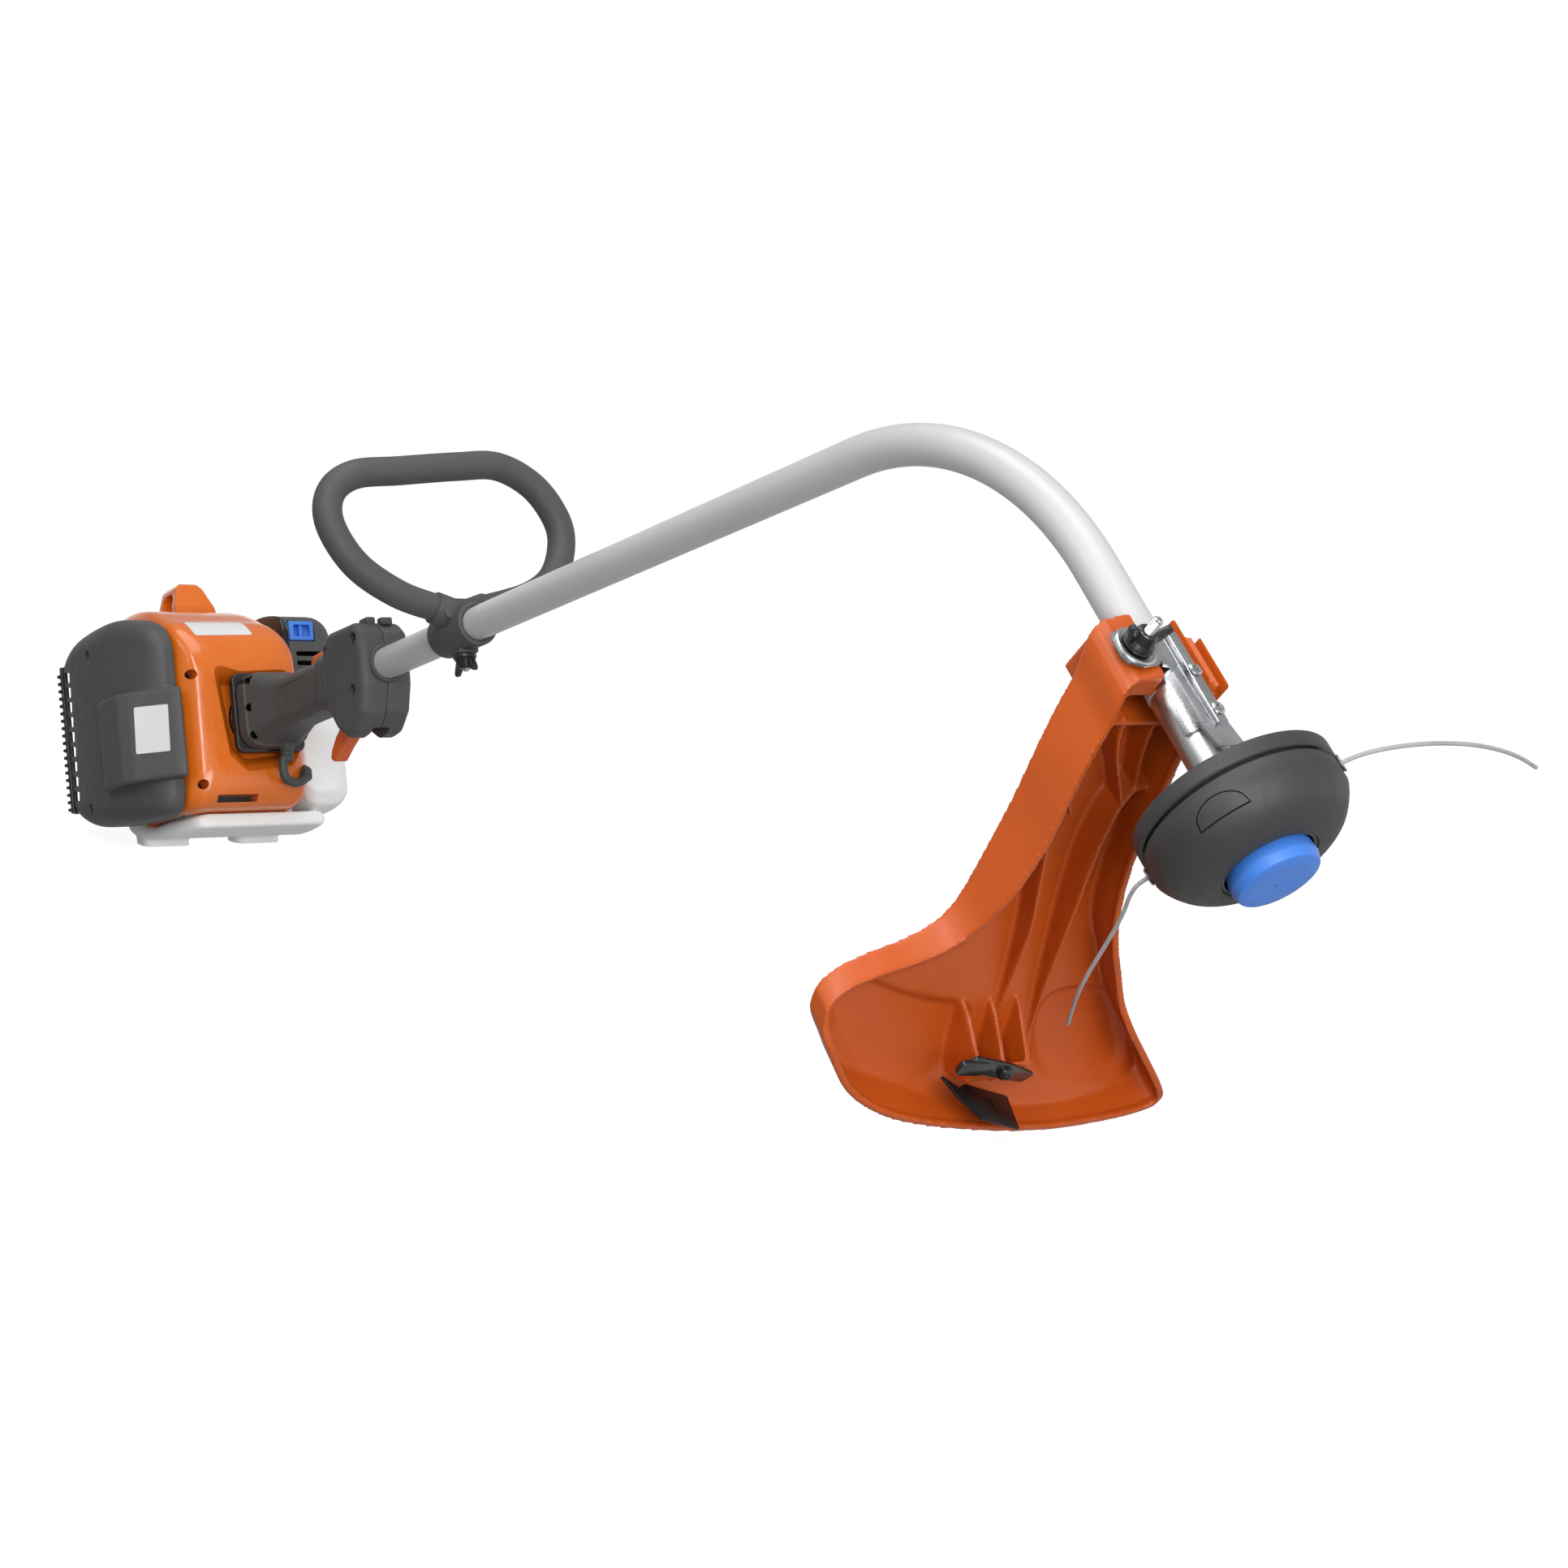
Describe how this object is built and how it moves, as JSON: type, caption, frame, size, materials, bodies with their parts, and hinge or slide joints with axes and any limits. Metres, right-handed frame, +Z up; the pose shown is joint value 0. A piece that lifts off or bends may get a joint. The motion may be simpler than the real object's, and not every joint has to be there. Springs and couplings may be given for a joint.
{
  "type": "string trimmer",
  "caption": "Petrol string trimmer with curved shaft, loop handle, orange debris guard, bump-feed line head and a small two-stroke power head with fuel tank.",
  "frame": {"origin": "centre of the base of the object's box without the two loose line ends, on the ground that the tank feet and guard stand on", "axes": "+X from the power head towards the cutting head, +Y to the operator's left, +Z up"},
  "size_m": [1.3864, 0.3414, 0.4033],
  "materials": {
    "painted_tube": "satin light grey powder coat over steel tube",
    "bare_alloy": "cast and machined alloy",
    "steel": "plain steel",
    "zinc_plate": "bright zinc plated pressed sheet",
    "black_steel": "blackened steel",
    "head_plastic": "charcoal moulded nylon, fine spark-eroded grain",
    "black_plastic": "black moulded plastic",
    "grey_plastic": "dark grey moulded plastic, fine grain",
    "grip_rubber": "dark grey foam-rubber sleeve",
    "guard_plastic": "orange moulded polypropylene, soft gloss",
    "cowl_plastic": "orange moulded cowl plastic, semi gloss",
    "trigger_plastic": "orange moulded plastic",
    "blue_plastic": "blue moulded plastic",
    "nylon_line": "translucent grey nylon monofilament",
    "cable_jacket": "ribbed dark cable boot",
    "porcelain": "white glazed porcelain and cap",
    "filter_foam": "open-cell filter foam",
    "clear_rubber": "clear soft bulb",
    "rope": "braided starter rope",
    "tank_plastic": "translucent white blow-moulded polyethylene"
  },
  "bodies": {
    "frame": {"debris_guard": "guard_plastic", "drive_tube": "painted_tube", "cylinder": "bare_alloy", "muffler_cover": "grey_plastic", "engine_cowl": "cowl_plastic", "fuel_tank": "tank_plastic", "starter_housing": "cowl_plastic", "air_filter_cover": "grey_plastic", "rear_grip": "grey_plastic", "bearing_housing": "bare_alloy", "clutch_housing": "black_plastic", "crankcase": "bare_alloy", "throttle_cable": "cable_jacket", "throttle_housing_right": "grey_plastic", "throttle_housing_left": "grey_plastic", "guard_bracket": "zinc_plate", "drive_cable": "steel", "spark_plug": "porcelain", "piston": "bare_alloy", "carburetor": "bare_alloy", "air_filter": "filter_foam", "cutter_clip": "black_plastic", "trigger_pin": "steel", "bracket_rivet_upper": "zinc_plate", "bracket_rivet_lower": "zinc_plate", "guard_bolt": "zinc_plate", "housing_screw_upper": "black_steel", "housing_screw_lower": "black_steel", "muffler": "steel", "line_cutter": "black_steel"},
    "crank": {"crankshaft": "steel", "flywheel": "bare_alloy", "clutch_shoes": "steel", "clutch_drum": "steel"},
    "head": {"head_cover": "head_plastic", "head_housing": "head_plastic", "line_eyelet_front": "steel", "line_eyelet_rear": "steel", "drive_adapter": "steel", "bump_spring": "steel", "line_end_front": "nylon_line", "line_end_rear": "nylon_line"},
    "knob": {"bump_knob": "blue_plastic"},
    "spool": {"line_spool": "black_plastic", "wound_line": "nylon_line"},
    "trigger": {"throttle_trigger": "trigger_plastic"},
    "lockout": {"throttle_lockout": "trigger_plastic"},
    "stop": {"stop_switch": "grey_plastic"},
    "choke": {"choke_lever": "blue_plastic"},
    "primer": {"primer_bulb": "clear_rubber"},
    "cap": {"fuel_cap": "black_plastic"},
    "starter_grip": {"starter_handle": "cowl_plastic", "starter_rope": "rope"},
    "pulley": {"starter_pulley": "black_plastic"},
    "loop": {"loop_handle": "grip_rubber", "handle_clamp": "grey_plastic", "clamp_bolt": "zinc_plate"},
    "loop_nut": {"handle_wing_nut": "black_plastic"},
    "guard_nut": {"guard_wing_nut": "black_plastic"}
  },
  "joints": [
    {"name": "crank_spin", "type": "hinge", "parent": "frame", "child": "crank", "pos_m": [-0.53926, 0.009, 0.10502], "axis": [0.9511, 0, 0.309], "continuous": true},
    {"name": "head_spin", "type": "hinge", "parent": "frame", "child": "head", "pos_m": [0.64597, 0.009, 0.21144], "axis": [0.7193, 0, -0.6947], "continuous": true},
    {"name": "knob_press", "type": "slide", "parent": "head", "child": "knob", "axis": [-0.7193, 0, 0.6947], "range_m": [0, 0.006], "stiffness_N_per_m": 900, "springref_m": -0.003},
    {"name": "spool_turn", "type": "hinge", "parent": "knob", "child": "spool", "pos_m": [0.64597, 0.009, 0.21144], "axis": [0.7193, 0, -0.6947], "continuous": true},
    {"name": "trigger_squeeze", "type": "hinge", "parent": "frame", "child": "trigger", "pos_m": [-0.29161, 0.009, 0.15185], "axis": [0, 1, 0], "range_deg": [0, 16], "stiffness_Nm_per_rad": 0.4, "springref_deg": -11.46},
    {"name": "lockout_press", "type": "hinge", "parent": "frame", "child": "lockout", "pos_m": [-0.34952, 0.009, 0.1877], "axis": [0, -1, 0], "range_deg": [0, 4], "stiffness_Nm_per_rad": 0.4, "springref_deg": -11.46},
    {"name": "stop_slide", "type": "slide", "parent": "frame", "child": "stop", "axis": [0.9511, 0, 0.309], "range_m": [0, 0.006]},
    {"name": "choke_pull", "type": "slide", "parent": "frame", "child": "choke", "axis": [0.9511, 0, 0.309], "range_m": [0, 0.006]},
    {"name": "primer_press", "type": "slide", "parent": "frame", "child": "primer", "axis": [-0.9511, 0, -0.309], "range_m": [0, 0.005], "stiffness_N_per_m": 400, "springref_m": -0.002},
    {"name": "fuel_cap_turn", "type": "hinge", "parent": "frame", "child": "cap", "pos_m": [-0.54901, 0.107, 0.07031], "axis": [0, 1, 0], "range_deg": [0, 540]},
    {"name": "starter_pull", "type": "slide", "parent": "frame", "child": "starter_grip", "axis": [-0.309, 0, 0.9511], "range_m": [0, 0.6], "stiffness_N_per_m": 12, "springref_m": -0.1},
    {"name": "pulley_turn", "type": "hinge", "parent": "frame", "child": "pulley", "pos_m": [-0.60679, 0.009, 0.08308], "axis": [0.9511, 0, 0.309], "range_deg": [0, 1600]},
    {"name": "loop_slide", "type": "slide", "parent": "frame", "child": "loop", "axis": [0.9511, 0, 0.309], "range_m": [-0.05, 0.12]},
    {"name": "loop_nut_turn", "type": "hinge", "parent": "loop", "child": "loop_nut", "pos_m": [-0.14883, 0.009, 0.21401], "axis": [0.309, 0, -0.9511], "range_deg": [0, 720]},
    {"name": "guard_nut_turn", "type": "hinge", "parent": "frame", "child": "guard_nut", "pos_m": [0.58499, -0.018, 0.29369], "axis": [0.6947, 0, 0.7193], "range_deg": [0, 720]}
  ],
  "couplings": [
    {"joint": "head_spin", "follows": "crank_spin", "ratio": 1},
    {"joint": "pulley_turn", "follows": "starter_pull", "rad_per_m": 45.455}
  ]
}
